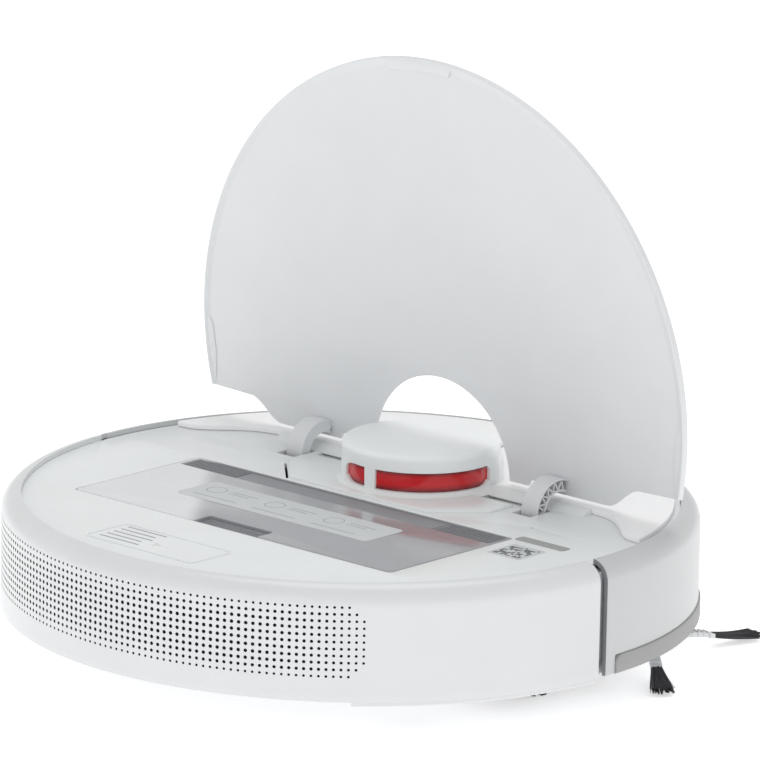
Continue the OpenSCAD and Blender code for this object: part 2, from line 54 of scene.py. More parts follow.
# Body of revolution, about the vertical axis through the origin
BODY_R = 175
WALL_IN_R = 172.5
RIM_R = 165
SHOULDER_R = 10
SHOULDER_IN_R = 7.5
SHOULDER_Z = 67.5
SKIRT_Z = 20
DECK_LOW = 72
DECK_Z = 75
COVER_Z = 78
DECK_FRONT_R = 162
DECK_REAR_R = 165

# Gap between the rear wall and the bumper
WALL_END_Y = -10.5
BUMPER_END_Y = -5.5

# Exhaust grille in the rear wall
WALL_COLUMNS = 147
GRILLE_STEP = 0.59
GRILLE_PITCH = 1.73
GRILLE_ROWS = 11
GRILLE_COLUMNS = 77
GRILLE_LOW_Z = 33
HOLE_DEPTH = 2.0
HOLE_R = 1.0
HOLE_FADE = 0.3

# Front cover's rear edge, and the foot of the ramp up to it
COVER_EDGE_Y = 62.8
RAMP_Y = 54.4
RAMP_END_X = 105

# Power and home buttons
BUTTON_X = 13
BUTTON_Y = 118

# Bumper strip
STRIP_TOP_Z = 29.8
STRIP_IN_R = 173.7
STRIP_OUT_R = 176
STRIP_START = 0.4
STRIP_ROUND = 1.7

# Lid, in its closed place, and its hinge
LID_R = 163
LID_LOW = 78.5
LID_HIGH = 81
LID_EDGE_Y = 48.5
LID_WING_Y = 37
HINGE_Y = 58.5
HINGE_Z = 69.3
LID_OPEN = 86
NOTCH_R = 46

# Goose-neck arms, as they stand with the lid open
ARM_X = 80.2
ARM_W = 10.8
ARM_Y = 60.2
ARM_Z = 73.2
ARM_IN_R = 10.2
ARM_OUT_R = 16.8
ARM_FIRST = 69
ARM_LAST = 212

# Turret
TOWER_Y = 51
TOWER_R = 39.8
TOWER_TOP = 97.6
TOWER_FOOT_R = 41.6
WINDOW_R = 38.3
WALL_HIGH = 88.3

# Dustbin cover
BIN_HALF_W = 106.7
BIN_REAR_Y = -88.1
BIN_FRONT_Y = 1.1
STRIP_REAR_Y = -14.4

# Side brush
BRUSH_X = 124
BRUSH_Y = 86
BRUSH_ARMS = (77, 197, 317)
STEM_END = 40
STEM_DROP = 3.2
BRUSH_REACH = 69.5
FILAMENTS = 120

# Camera: a long lens to the rear right; angles in degrees, distances in metres
CAMERA_TURN = 42.41
CAMERA_RISE = 16.06
CAMERA_ROLL = 1.06
CAMERA_DISTANCE = 4.0
CAMERA_LENS = 377.05
CAMERA_FOOT_Z = 0.010
CAMERA_AIM_RIGHT = 0.01563
CAMERA_AIM_UP = 0.12176


# ---------------------------------------------------------------- colours and materials


def linear(red, green, blue):
    """Screen colour, 0 to 255, as linear light."""
    shades = []
    for value in (red, green, blue):
        v = value / 255
        shades.append(v / 12.92 if v <= 0.04045 else ((v + 0.055) / 1.055) ** 2.4)
    return (*shades, 1)


def scaled(colour, factor):
    return (*[min(c * factor, 1) for c in colour[:3]], 1)


def add_node(tree, kind, **values):
    node = tree.nodes.new(kind)
    for key, value in values.items():
        node.inputs[key.replace("_", " ")].default_value = value
    return node


def start_material(name):
    """An empty Principled material with a position in millimetres to drive its textures."""
    material = bpy.data.materials.new(name)
    material.use_nodes = True
    tree = material.node_tree
    bsdf = tree.nodes["Principled BSDF"]
    place = tree.nodes.new("ShaderNodeTexCoord")
    grow = tree.nodes.new("ShaderNodeMapping")
    grow.inputs["Scale"].default_value = (1000, 1000, 1000)
    tree.links.new(place.outputs["Object"], grow.inputs["Vector"])
    return material, tree, bsdf, grow.outputs["Vector"]


def drive(tree, vector, scale, low, high, detail=3.0):
    """Noise stretched to run from low to high."""
    noise = add_node(tree, "ShaderNodeTexNoise", Scale=scale, Detail=detail, Roughness=0.55)
    tree.links.new(vector, noise.inputs["Vector"])
    span = add_node(tree, "ShaderNodeMapRange", From_Min=0.3, From_Max=0.7, To_Min=low, To_Max=high)
    tree.links.new(noise.outputs["Fac"], span.inputs["Value"])
    return span.outputs["Result"]


def tint(tree, vector, colour, spread, scale):
    """Slow change of shade about a colour."""
    mix = tree.nodes.new("ShaderNodeMix")
    mix.data_type = "RGBA"
    mix.inputs["A"].default_value = scaled(colour, 1 - spread)
    mix.inputs["B"].default_value = scaled(colour, 1 + spread)
    tree.links.new(drive(tree, vector, scale, 0, 1), mix.inputs["Factor"])
    return mix.outputs["Result"]


def fine_bump(tree, bsdf, vector, scale, strength, depth=0.02):
    noise = add_node(tree, "ShaderNodeTexNoise", Scale=scale, Detail=2.0)
    bump = add_node(tree, "ShaderNodeBump", Strength=strength, Distance=depth * MM)
    tree.links.new(vector, noise.inputs["Vector"])
    tree.links.new(noise.outputs["Fac"], bump.inputs["Height"])
    tree.links.new(bump.outputs["Normal"], bsdf.inputs["Normal"])


def plastic(name, colour, rough, spread=0.015, grain=1.2, strength=0.15, coat=0.0, depth=0.02):
    """Moulded plastic: a slow tint, a roughness that wanders and a fine moulding grain."""
    material, tree, bsdf, vector = start_material(name)
    tree.links.new(tint(tree, vector, colour, spread, 0.03), bsdf.inputs["Base Color"])
    tree.links.new(drive(tree, vector, 0.03, rough * 0.94, rough * 1.06, 1.0), bsdf.inputs["Roughness"])
    fine_bump(tree, bsdf, vector, grain, strength, depth)
    bsdf.inputs["Coat Weight"].default_value = coat
    bsdf.inputs["Coat Roughness"].default_value = 0.12
    return material


def metal(name, colour, rough):
    """Brushed metal, with its grain drawn out along one axis."""
    material, tree, bsdf, vector = start_material(name)
    stretch = tree.nodes.new("ShaderNodeMapping")
    stretch.inputs["Scale"].default_value = (0.08, 2.5, 2.5)
    tree.links.new(vector, stretch.inputs["Vector"])
    streaks = stretch.outputs["Vector"]
    tree.links.new(tint(tree, vector, colour, 0.04, 0.1), bsdf.inputs["Base Color"])
    tree.links.new(drive(tree, streaks, 1.0, rough * 0.7, rough * 1.3), bsdf.inputs["Roughness"])
    fine_bump(tree, bsdf, streaks, 1.5, 0.2)
    bsdf.inputs["Metallic"].default_value = 1
    return material


def window_red():
    """Deep red tinted plastic, with painted shade that darkens it towards its upper edge under the cap and
    its lower edge at the sill.
    """
    material, tree, bsdf, vector = start_material("window_red")
    split = tree.nodes.new("ShaderNodeSeparateXYZ")
    tree.links.new(vector, split.inputs["Vector"])
    ramp = tree.nodes.new("ShaderNodeValToRGB")
    stops = ramp.color_ramp.elements
    # The dark stops at both ends are painted shade: under the cap's overhang above, and in the recess over
    # the sill below.
    stops[0].position = 0.08
    stops[0].color = linear(122, 20, 28)
    stops[1].position = 0.95
    stops[1].color = linear(120, 12, 20)
    middle = stops.new(0.35)
    middle.color = linear(212, 24, 34)
    upper = stops.new(0.75)
    upper.color = linear(204, 22, 32)
    height = add_node(tree, "ShaderNodeMapRange", From_Min=DECK_Z + 3, From_Max=WALL_HIGH)
    tree.links.new(split.outputs["Z"], height.inputs["Value"])
    tree.links.new(height.outputs["Result"], ramp.inputs["Fac"])
    tree.links.new(ramp.outputs["Color"], bsdf.inputs["Base Color"])
    tree.links.new(drive(tree, vector, 0.2, 0.1, 0.16), bsdf.inputs["Roughness"])
    fine_bump(tree, bsdf, vector, 0.4, 0.05)
    bsdf.inputs["Coat Weight"].default_value = 0.4
    return material


def smoky_cover():
    """Smoke-grey bin cover, with a painted reflection that makes it paler from its left rear corner up to a
    slanting line.
    """
    material, tree, bsdf, vector = start_material("smoky_cover")
    split = tree.nodes.new("ShaderNodeSeparateXYZ")
    tree.links.new(vector, split.inputs["Vector"])
    # Painted reflection: below the slanting line x + 0.8 y = -95 the cover turns pale, standing in for the
    # bright surround mirrored in its gloss.
    reflection_line = tree.nodes.new("ShaderNodeMath")
    reflection_line.operation = "MULTIPLY_ADD"
    reflection_line.inputs[1].default_value = 0.8
    tree.links.new(split.outputs["Y"], reflection_line.inputs[0])
    tree.links.new(split.outputs["X"], reflection_line.inputs[2])
    along = add_node(tree, "ShaderNodeMapRange", From_Min=-102, From_Max=-88)
    along.interpolation_type = "SMOOTHSTEP"
    tree.links.new(reflection_line.outputs["Value"], along.inputs["Value"])
    mix = tree.nodes.new("ShaderNodeMix")
    mix.data_type = "RGBA"
    tree.links.new(along.outputs["Result"], mix.inputs["Factor"])
    # Pale tone of the painted reflection; the dark tone below is the cover's own smoke grey.
    pale = tint(tree, vector, linear(226, 228, 230), 0.02, 0.03)
    dark = tint(tree, vector, linear(160, 162, 165), 0.02, 0.03)
    tree.links.new(pale, mix.inputs["A"])
    tree.links.new(dark, mix.inputs["B"])
    tree.links.new(mix.outputs["Result"], bsdf.inputs["Base Color"])
    tree.links.new(drive(tree, vector, 0.15, 0.16, 0.24), bsdf.inputs["Roughness"])
    fine_bump(tree, bsdf, vector, 0.5, 0.06)
    bsdf.inputs["Coat Weight"].default_value = 0.3
    return material


MAT = {
    "white_shell": plastic("white_shell", linear(222, 224, 225), 0.34, coat=0.15),
    # Darker copy of the white shell: painted shade for the dimmer light that falls on the bumper.
    "shaded_bumper_white": plastic("shaded_bumper_white", linear(201, 203, 204), 0.36, coat=0.1),
    "turret_white": plastic("turret_white", linear(246, 249, 250), 0.36, coat=0.1),
    "lid_white": plastic("lid_white", linear(226, 228, 230), 0.42, strength=0.1),
    # Whiter copy of the white shell: partly the cover's own white, partly painted light for the light
    # falling on its upward face.
    "lit_cover_white": plastic("lit_cover_white", linear(250, 250, 251), 0.36, spread=0.004, strength=0.1, coat=0.1),
    "deck_grey": plastic("deck_grey", linear(236, 239, 239), 0.3, grain=0.5, strength=0.04, coat=0.1),
    "base_grey": plastic("base_grey", linear(190, 192, 195), 0.5, strength=0.3),
    "strip_grey": plastic("strip_grey", linear(163, 164, 163), 0.55, strength=0.35),
    "bin_smoke": plastic("bin_smoke", linear(120, 128, 138), 0.25, coat=0.3),
    "smoky_cover": smoky_cover(),
    "dark_plastic": plastic("dark_plastic", linear(62, 63, 67), 0.5, strength=0.3),
    "mid_grey": plastic("mid_grey", linear(140, 141, 145), 0.45, strength=0.3),
    "recess_grey": plastic("recess_grey", linear(148, 149, 154), 0.5, strength=0.3),
    "red_window": window_red(),
    "filter_white": plastic("filter_white", linear(215, 217, 212), 0.9, grain=0.8, strength=0.7),
    "black_rubber": plastic("black_rubber", linear(45, 45, 47), 0.8, grain=0.9, strength=0.6),
    "belt_rubber": plastic("belt_rubber", linear(50, 50, 52), 0.7, grain=1.0, strength=0.5),
    "blade_rubber": plastic("blade_rubber", linear(214, 112, 58), 0.62, grain=1.0, strength=0.4),
    "brush_white": plastic("brush_white", linear(224, 226, 227), 0.32, coat=0.15),
    "bristle": plastic("bristle", linear(58, 58, 61), 0.5, spread=0.25),
    "steel": metal("steel", linear(190, 192, 195), 0.28),
    "contact_metal": metal("contact_metal", linear(222, 200, 142), 0.25),
    "battery_wrap": plastic("battery_wrap", linear(48, 88, 160), 0.35),
    "board_green": plastic("board_green", linear(36, 96, 60), 0.4, spread=0.05),
    "sensor_black": plastic("sensor_black", linear(30, 30, 33), 0.12, coat=0.5),
    # Painted shade: dark grey for the hollow seen through the grille holes.
    "hole_dark": plastic("hole_dark", linear(74, 75, 78), 0.7),
    "label_pale": plastic("label_pale", linear(206, 209, 210), 0.5, strength=0.1),
    "label_ink": plastic("label_ink", linear(164, 167, 169), 0.5, strength=0.1),
    "code_ink": plastic("code_ink", linear(96, 98, 102), 0.5, strength=0.1),
}


# ---------------------------------------------------------------- mesh helpers


def shade_by_angle(mesh, limit=SMOOTH_LIMIT):
    """Merges doubled points, turns faces outward and keeps edges sharper than the limit crisp."""
    bm = bmesh.new()
    bm.from_mesh(mesh)
    bmesh.ops.remove_doubles(bm, verts=bm.verts, dist=0.002 * MM)
    bmesh.ops.dissolve_degenerate(bm, edges=bm.edges, dist=0.001 * MM)
    bmesh.ops.recalc_face_normals(bm, faces=bm.faces)
    for face in bm.faces:
        face.smooth = True
    for edge in bm.edges:
        flat = len(edge.link_faces) == 2 and edge.calc_face_angle(0) < radians(limit)
        edge.smooth = flat
    bm.to_mesh(mesh)
    bm.free()


def as_object(name, mesh, material):
    if not mesh.materials:
        mesh.materials.append(MAT[material])
    shade_by_angle(mesh)
    piece = bpy.data.objects.new(name, mesh)
    bpy.context.scene.collection.objects.link(piece)
    return piece


def mesh_from(name, points, faces):
    mesh = bpy.data.meshes.new(name)
    mesh.from_pydata([Vector(p) * MM for p in points], [], faces)
    return mesh


def merged(name, meshes, materials):
    """One object from several meshes, each with its own material."""
    bm = bmesh.new()
    slots = []
    for mesh, material in zip(meshes, materials):
        if material not in slots:
            slots.append(material)
        start = len(bm.faces)
        bm.from_mesh(mesh)
        bm.faces.ensure_lookup_table()
        for face in bm.faces[start:]:
            face.material_index = slots.index(material)
        bpy.data.meshes.remove(mesh)
    whole = bpy.data.meshes.new(name)
    bm.to_mesh(whole)
    bm.free()
    for material in slots:
        whole.materials.append(MAT[material])
    return as_object(name, whole, slots[0])


def box_mesh(x0, x1, y0, y1, z0, z1, soften=0.3):
    """Box with rounded edges."""
    bm = bmesh.new()
    bmesh.ops.create_cube(bm, size=1)
    size = Vector((x1 - x0, y1 - y0, z1 - z0)) * MM
    middle = Vector((x0 + x1, y0 + y1, z0 + z1)) * (MM / 2)
    bmesh.ops.transform(bm, matrix=Matrix.Translation(middle) @ Matrix.Diagonal((*size, 1)), verts=bm.verts)
    bmesh.ops.bevel(bm, geom=bm.edges, offset=soften * MM, segments=2, profile=0.5, affect="EDGES")
    mesh = bpy.data.meshes.new("box")
    bm.to_mesh(mesh)
    bm.free()
    return mesh


def plate_mesh(loops, low, high, bevel=0.4, steps=2):
    """Flat plate from an outline and holes, with rounded edges."""
    curve = bpy.data.curves.new("outline", "CURVE")
    curve.dimensions = "2D"
    curve.fill_mode = "BOTH"
    curve.extrude = ((high - low) / 2 - bevel) * MM
    curve.bevel_depth = bevel * MM
    curve.bevel_resolution = steps
    curve.offset = -bevel * MM
    for loop in loops:
        spline = curve.splines.new("POLY")
        spline.points.add(len(loop) - 1)
        for point, (x, y) in zip(spline.points, loop):
            point.co = (x * MM, y * MM, 0, 1)
        spline.use_cyclic_u = True
    holder = bpy.data.objects.new("outline", curve)
    bpy.context.scene.collection.objects.link(holder)
    bpy.context.view_layer.update()
    mesh = bpy.data.meshes.new_from_object(holder.evaluated_get(bpy.context.evaluated_depsgraph_get()))
    bpy.data.objects.remove(holder)
    bpy.data.curves.remove(curve)
    mesh.materials.clear()
    mesh.transform(Matrix.Translation((0, 0, (low + high) / 2 * MM)))
    return mesh


def spread(first, last, count):
    return [first + (last - first) * k / (count - 1) for k in range(count)]


def arc(cx, cy, r, first, last, count):
    """Points along an arc from the first angle to the last."""
    return [(cx + r * cos(radians(a)), cy + r * sin(radians(a))) for a in spread(first, last, count)]


def rounded(x0, x1, y0, y1, r, count=6):
    """Rectangle with rounded corners."""
    corners = (
        arc(x1 - r, y1 - r, r, 0, 90, count)
        + arc(x0 + r, y1 - r, r, 90, 180, count)
        + arc(x0 + r, y0 + r, r, 180, 270, count)
        + arc(x1 - r, y0 + r, r, 270, 360, count)
    )
    return corners


def circle(cx, cy, r, count=48):
    return arc(cx, cy, r, 0, 360 * (1 - 1 / count), count)


def swept_mesh(angles, section, cy=0.0, full=False):
    """Closed sections, one at each angle about a vertical axis, joined into a solid."""
    points = []
    for a in angles:
        points += [(r * cos(radians(a)), cy + r * sin(radians(a)), z) for r, z in section(a)]
    size = len(section(angles[0]))
    count = len(angles)
    faces = []
    for j in range(count if full else count - 1):
        here = j * size
        there = (j + 1) % count * size
        for i in range(size):
            n = (i + 1) % size
            faces.append((here + i, there + i, there + n, here + n))
    if not full:
        faces.append(tuple(range(size)))
        faces.append(tuple(range((count - 1) * size, count * size)))
    return mesh_from("swept", points, faces)


def smoothstep(t):
    t = min(max(t, 0), 1)
    return t * t * (3 - 2 * t)


def put(piece, body, slot, *nodes):
    """Hangs a finished piece on its body and lets it stand for CAD nodes."""
    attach(piece, body)
    if nodes:
        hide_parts(*nodes)
    return piece


# ---------------------------------------------------------------- side wall and bumper


def wall_radius(z):
    if z <= SHOULDER_Z:
        return BODY_R
    return RIM_R + sqrt(max(SHOULDER_R**2 - (z - SHOULDER_Z) ** 2, 0))


def inner_wall():
    """Inner face of the wall, from the rim down."""
    turn = [(RIM_R + SHOULDER_IN_R * cos(radians(t)), SHOULDER_Z + SHOULDER_IN_R * sin(radians(t)))
            for t in (90, 72, 54, 36, 18, 0)]
    return turn + [(WALL_IN_R, SKIRT_Z + 0.3)]


def shoulder(first):
    """Outer quarter round, from an angle up to the rim."""
    return [(RIM_R + SHOULDER_R * cos(radians(t)), SHOULDER_Z + SHOULDER_R * sin(radians(t)))
            for t in spread(first, 90, 10)]


def hole_rows(column):
    """Rows of holes in a grille column, counted from the middle, as a range."""
    from_end = GRILLE_COLUMNS // 2 - abs(column)
    cut = {0: 2, 1: 1}.get(from_end, 0)
    return range(cut, GRILLE_ROWS - cut)


def hole_radius(column, row):
    """Radius of a grille hole, smaller towards the edges of the grille."""
    side = abs(column) / (GRILLE_COLUMNS // 2)
    rise = abs(row - (GRILLE_ROWS - 1) / 2) / ((GRILLE_ROWS - 1) / 2)
    return HOLE_R - HOLE_FADE * max(side**4, rise**4)


def skirt_section():
    """Closed section of the rear wall, and the index of its first grille row."""
    foot = [(172.8, SKIRT_Z), (174.4, SKIRT_Z), (174.85, SKIRT_Z + 0.15), (BODY_R, SKIRT_Z + 0.6),
            (BODY_R, SKIRT_Z + 4), (BODY_R, SKIRT_Z + 8)]
    levels = [GRILLE_LOW_Z + GRILLE_PITCH * (k - 1) for k in range(2 * GRILLE_ROWS + 1)]
    grille = [(wall_radius(z), z) for z in levels]
    first = degrees(asin((levels[-1] - SHOULDER_Z) / SHOULDER_R)) + 5
    return foot + grille + shoulder(first) + inner_wall(), len(foot)


def hole_points(points, ring, angle, z, radius):
    """Rim and bottom of one blind hole, on the wall's curve, facing the grid points round it."""
    rim = []
    bottom = []
    for index in ring:
        x, y, height = points[index]
        across = radians(degrees(atan2(y, x)) - angle) * BODY_R
        turn = atan2(height - z, across)
        da = radius * cos(turn) / BODY_R
        level = z + radius * sin(turn)
        r = wall_radius(level) - 0.01
        a = radians(angle) + da
        rim.append((r * cos(a), r * sin(a), level))
        r -= HOLE_DEPTH
        bottom.append((r * cos(a), r * sin(a), level))
    return rim, bottom


def pierced_wall():
    """Rear wall with its grille of blind holes, their walls and bottoms painted dark as shade for the hollow
    behind the grille.
    """
    section, first_row = skirt_section()
    size = len(section)
    half = WALL_COLUMNS
    points = []
    for j in range(-half, half + 1):
        a = radians(-90 + GRILLE_STEP * j)
        points += [(r * cos(a), r * sin(a), z) for r, z in section]
    for edge, sign in ((0, -1), (2 * half, 1)):
        for i, (r, z) in enumerate(section):
            points[edge * size + i] = (sign * sqrt(r * r - WALL_END_Y**2), WALL_END_Y, z)
    holes = {}
    for column in range(-(GRILLE_COLUMNS // 2), GRILLE_COLUMNS // 2 + 1):
        for row in hole_rows(column):
            holes[(half + 2 * column, first_row + 1 + 2 * row)] = hole_radius(column, row)
    cut = {(j + dj, i + di) for j, i in holes for dj in (-1, 0) for di in (-1, 0)}
    faces = []
    dark = []
    for j in range(2 * half):
        for i in range(size):
            if (j, i) not in cut:
                n = (i + 1) % size
                faces.append((j * size + i, (j + 1) * size + i, (j + 1) * size + n, j * size + n))
                dark.append(0)
    faces += [tuple(range(size)), tuple(range(2 * half * size, (2 * half + 1) * size))]
    dark += [0, 0]
    around = ((-1, -1), (0, -1), (1, -1), (1, 0), (1, 1), (0, 1), (-1, 1), (-1, 0))
    for (j, i), radius in holes.items():
        ring = [(j + dj) * size + i + di for dj, di in around]
        angle = -90 + GRILLE_STEP * (j - half)
        rim, bottom = hole_points(points, ring, angle, section[i][1], radius)
        start = len(points)
        points += rim + bottom
        # Hole walls and bottoms take hole_dark, painted shade for the hollow behind the grille.
        for k in range(8):
            n = (k + 1) % 8
            faces.append((ring[k], ring[n], start + n, start + k))
            faces.append((start + k, start + n, start + 8 + n, start + 8 + k))
            dark += [0, 1]
        faces.append(tuple(range(start + 8, start + 16)))
        dark.append(1)
    mesh = mesh_from("rear_wall", points, faces)
    mesh.materials.append(MAT["white_shell"])
    mesh.materials.append(MAT["hole_dark"])
    mesh.polygons.foreach_set("material_index", dark)
    put(as_object("rear_wall", mesh, "white_shell"), "root", "white_shell", "side_skirt")


def bumper_section(angle):
    """Wall section of the bumper, set back where the strip lies on it."""
    along = min(angle, 180 - angle)
    r = STRIP_IN_R if along > STRIP_START else BODY_R
    foot = [(172.8, SKIRT_Z), (r - 0.5, SKIRT_Z), (r, SKIRT_Z + 0.5), (r, STRIP_TOP_Z - 0.2),
            (BODY_R, STRIP_TOP_Z), (BODY_R, 45), (BODY_R, SHOULDER_Z)]
    return foot + shoulder(9) + inner_wall()


def bumper():
    """Bumper wall, with close pairs of sections where the strip's seat begins, and a right end face painted
    grey as shade in the gap beside the rear wall.
    """
    edge = degrees(asin(BUMPER_END_Y / BODY_R))
    turn = [edge, STRIP_START - 0.02, STRIP_START + 0.02] + spread(1, 179, 179)
    turn += [180 - STRIP_START - 0.02, 180 - STRIP_START + 0.02, 180 - edge]
    mesh = swept_mesh(turn, bumper_section)
    mesh.materials.append(MAT["shaded_bumper_white"])
    mesh.materials.append(MAT["mid_grey"])
    # Painted shade: the right end face turns mid grey for the shadow in the gap beside the rear wall.
    right_end = mesh.polygons[-2]
    right_end.material_index = 1
    put(as_object("bumper_wall", mesh, "shaded_bumper_white"), "bumper", "white_shell", "bumper")


def strip_section(angle):
    """Rubbing strip, with its upper corner rounded off at both ends."""
    along = (min(angle, 180 - angle) - STRIP_START) / STRIP_ROUND
    drop = 5 * (1 - sqrt(max(1 - (1 - min(along, 1)) ** 2, 0)))
    top = STRIP_TOP_Z - 0.2 - drop
    return [(STRIP_IN_R + 0.05, SKIRT_Z + 0.1), (STRIP_OUT_R - 0.7, SKIRT_Z + 0.1),
            (STRIP_OUT_R, SKIRT_Z + 0.8), (STRIP_OUT_R, top - 1.2), (STRIP_OUT_R - 0.3, top - 0.4),
            (STRIP_OUT_R - 1, top), (STRIP_IN_R + 0.05, top)]


def bumper_strip():
    ends = spread(STRIP_START + 0.05, STRIP_START + STRIP_ROUND, 9)
    turn = ends + spread(3, 177, 175) + [180 - a for a in reversed(ends)]
    mesh = swept_mesh(turn, strip_section)
    put(as_object("rubbing_strip", mesh, "strip_grey"), "bumper", "strip_grey", "bumper_strip")


def lower_lip():
    """Lip of the base that shows under the rear wall, from the right-hand gap towards the rear."""
    def section(angle):
        return [(170, 17.6), (172.6, 17.4), (173.4, 18.2), (173.4, 19.9), (170, 19.9)]
    mesh = swept_mesh(spread(-47, -3.6, 60), section)
    put(as_object("base_lip", mesh, "white_shell"), "root", "white_shell")


# ---------------------------------------------------------------- deck and front cover


def deck_outline():
    """Deck's edge: up to the rear wall behind, and clear of the moving bumper in front."""
    rear = degrees(asin(-WALL_END_Y / DECK_REAR_R))
    front = degrees(asin(-WALL_END_Y / DECK_FRONT_R))
    behind = arc(0, 0, DECK_REAR_R + 0.1, 180 + rear, 360 - rear, 121)
    return behind + arc(0, 0, DECK_FRONT_R, -front, 180 + front, 121)


def ledge_section(angle):
    """Thin ledge, just below the deck's top, that fills the view between the deck and the bumper's rim."""
    return [(160.4, 73.6), (164.2, 73.6), (164.75, 74.4), (164.85, 74.8), (164.7, 74.9), (160.4, 74.9)]


def diagonal_slot(sign, width):
    """Narrow groove beside the pad's slanted corner."""
    step = width / sqrt(2)
    line = [(47.2, 4.6), (68.8, 26.2), (68.8 + step, 26.2 - step), (47.2 + step, 4.6 - step)]
    return [(sign * x, y) for x, y in line]


def deck_holes():
    holes = [rounded(-107.4, 107.4, -88.8, 1.8, 2.5)]
    for sign in (-1, 1):
        x = sign * ARM_X
        holes.append(rounded(x - 6.3, x + 6.3, 37, 54, 1))
        left, right = sorted((sign * 43, sign * 71))
        holes.append(rounded(left, right, 46, 57, 0.6))
        holes.append(circle(sign * BUTTON_X, BUTTON_Y, 4.2, 24))
    holes.append(diagonal_slot(-1, 1.3))
    holes.append(diagonal_slot(1, 0.4))
    holes.append(circle(0, TOWER_Y, 22.4))
    holes.append(circle(100.5, 22.8, 1.2, 20))
    holes.append(circle(-6, -134, 0.9, 20))
    return holes


def pad_outline():
    """Flat raised pad in front of the dustbin, with the turret's circle cut from it."""
    right = [(46, 4.6), (68, 26.6), (68, 45.4), (41.2, 45.4)]
    left = [(-x, y) for x, y in reversed(right)]
    return left + right + arc(0, TOWER_Y, 41.4, -8, -172, 60)


def ramp_mesh(sign):
    """Slope that carries the deck up to the front cover beside the turret."""
    rows = spread(RAMP_Y, COVER_EDGE_Y, 8)
    points = []
    for y in rows:
        inner = sqrt((TOWER_FOOT_R - 0.1) ** 2 - (y - TOWER_Y) ** 2)
        rise = (COVER_Z - DECK_Z) * smoothstep((y - RAMP_Y) / (COVER_EDGE_Y - RAMP_Y))
        for x in spread(inner, RAMP_END_X, 6):
            points.append((sign * x, y, DECK_Z + rise - 0.05))
        for x in spread(RAMP_END_X, inner, 6):
            points.append((sign * x, y, DECK_Z - 0.6))
    faces = []
    for j in range(7):
        for i in range(12):
            n = (i + 1) % 12
            faces.append((12 * j + i, 12 * j + n, 12 * j + 12 + n, 12 * j + 12 + i))
    faces += [tuple(range(12)), tuple(range(84, 96))]
    return mesh_from("ramp", points, faces)


def deck():
    parts = [plate_mesh([deck_outline()] + deck_holes(), DECK_LOW, DECK_Z, 0.35)]
    parts.append(plate_mesh([pad_outline()], DECK_Z - 0.3, DECK_Z + 1.2, 0.5))
    for sign in (-1, 1):
        left, right = sorted((sign * 42, sign * 71.6))
        parts.append(box_mesh(left, right, 45.6, 57.4, DECK_LOW, DECK_LOW + 1.4))
        parts.append(ramp_mesh(sign))
    parts.append(swept_mesh(spread(-3.4, 183.4, 150), ledge_section))
    put(merged("deck_plate", parts, ["deck_grey"] * len(parts)), "root", "deck_grey", "top_deck")


def cover_side():
    """Rear edge of the front cover on the right, from the middle out to its wing tip."""
    inner = degrees(asin((COVER_EDGE_Y - TOWER_Y) / TOWER_FOOT_R))
    start = arc(0, TOWER_Y, TOWER_FOOT_R, 90, inner, 24)
    bend = [(100, COVER_EDGE_Y), (107, 62.7), (112, 62.2), (117.5, 60.9), (122, 58.8), (126.5, 55.8),
            (131, 52.4), (136, 47.8), (141, 43.4), (145, 40.4), (149, 38.7), (154, 38.1)]
    tip = (sqrt(161.6**2 - 38.1**2), 38.1)
    return start + bend + [tip]


def front_cover():
    side = cover_side()
    start = degrees(atan2(side[-1][1], side[-1][0]))
    rim = arc(0, 0, 161.8, start + 0.4, 180 - start - 0.4, 120)
    mirror = [(-x, y) for x, y in reversed(side[1:])]
    loops = [side + rim + mirror]
    loops += [circle(x, BUTTON_Y, 7.35, 40) for x in (-BUTTON_X, BUTTON_X)]
    mesh = plate_mesh(loops, DECK_Z + 0.05, COVER_Z, 0.8, 3)
    put(as_object("front_cover_plate", mesh, "lit_cover_white"), "root", "white_shell", "front_cover")


def code_label():
    """Square sticker whose dots are laid at random and spell nothing."""
    rng = random.Random(7)
    meshes = [plate_mesh([rounded(114.5, 135.5, -27, -6, 1)], DECK_Z - 0.05, DECK_Z + 0.12, 0.04)]
    inks = ["label_pale"]
    cell = 1.55
    for row in range(11):
        for column in range(11):
            if rng.random() < 0.5:
                x = 116.5 + cell * column
                y = -25 + cell * row
                dot = cell * 0.9
                meshes.append(box_mesh(x, x + dot, y, y + dot, DECK_Z + 0.05, DECK_Z + 0.16, 0.03))
                inks.append("code_ink")
    put(merged("deck_sticker", meshes, inks), "root", "white_shell")


def deck_fittings():
    """Shallow panel round the reset hole, and a grey inlay beside the bin."""
    frame_loops = [rounded(-43, 30, -147, -117, 3), rounded(-42.2, 29.2, -146.2, -117.8, 2.3)]
    meshes = [plate_mesh(frame_loops, DECK_Z - 0.1, DECK_Z + 0.35, 0.1)]
    inks = ["deck_grey"]
    meshes.append(plate_mesh([rounded(108.5, 140, 0.4, 7, 1.5)], DECK_Z - 0.1, DECK_Z + 0.3, 0.1))
    inks.append("strip_grey")
    for k in range(5):
        y = -141 + 5 * k
        meshes.append(box_mesh(-38, -12 - 3 * (k % 2), y, y + 1, DECK_Z - 0.1, DECK_Z + 0.12, 0.05))
        inks.append("label_ink")
    meshes.append(plate_mesh([circle(-6, -134, 2.6, 28), circle(-6, -134, 1.3, 20)],
                             DECK_Z - 0.1, DECK_Z + 0.25, 0.08))
    inks.append("deck_grey")
    put(merged("deck_inlays", meshes, inks), "root", "deck_grey")


# ---------------------------------------------------------------- dustbin cover


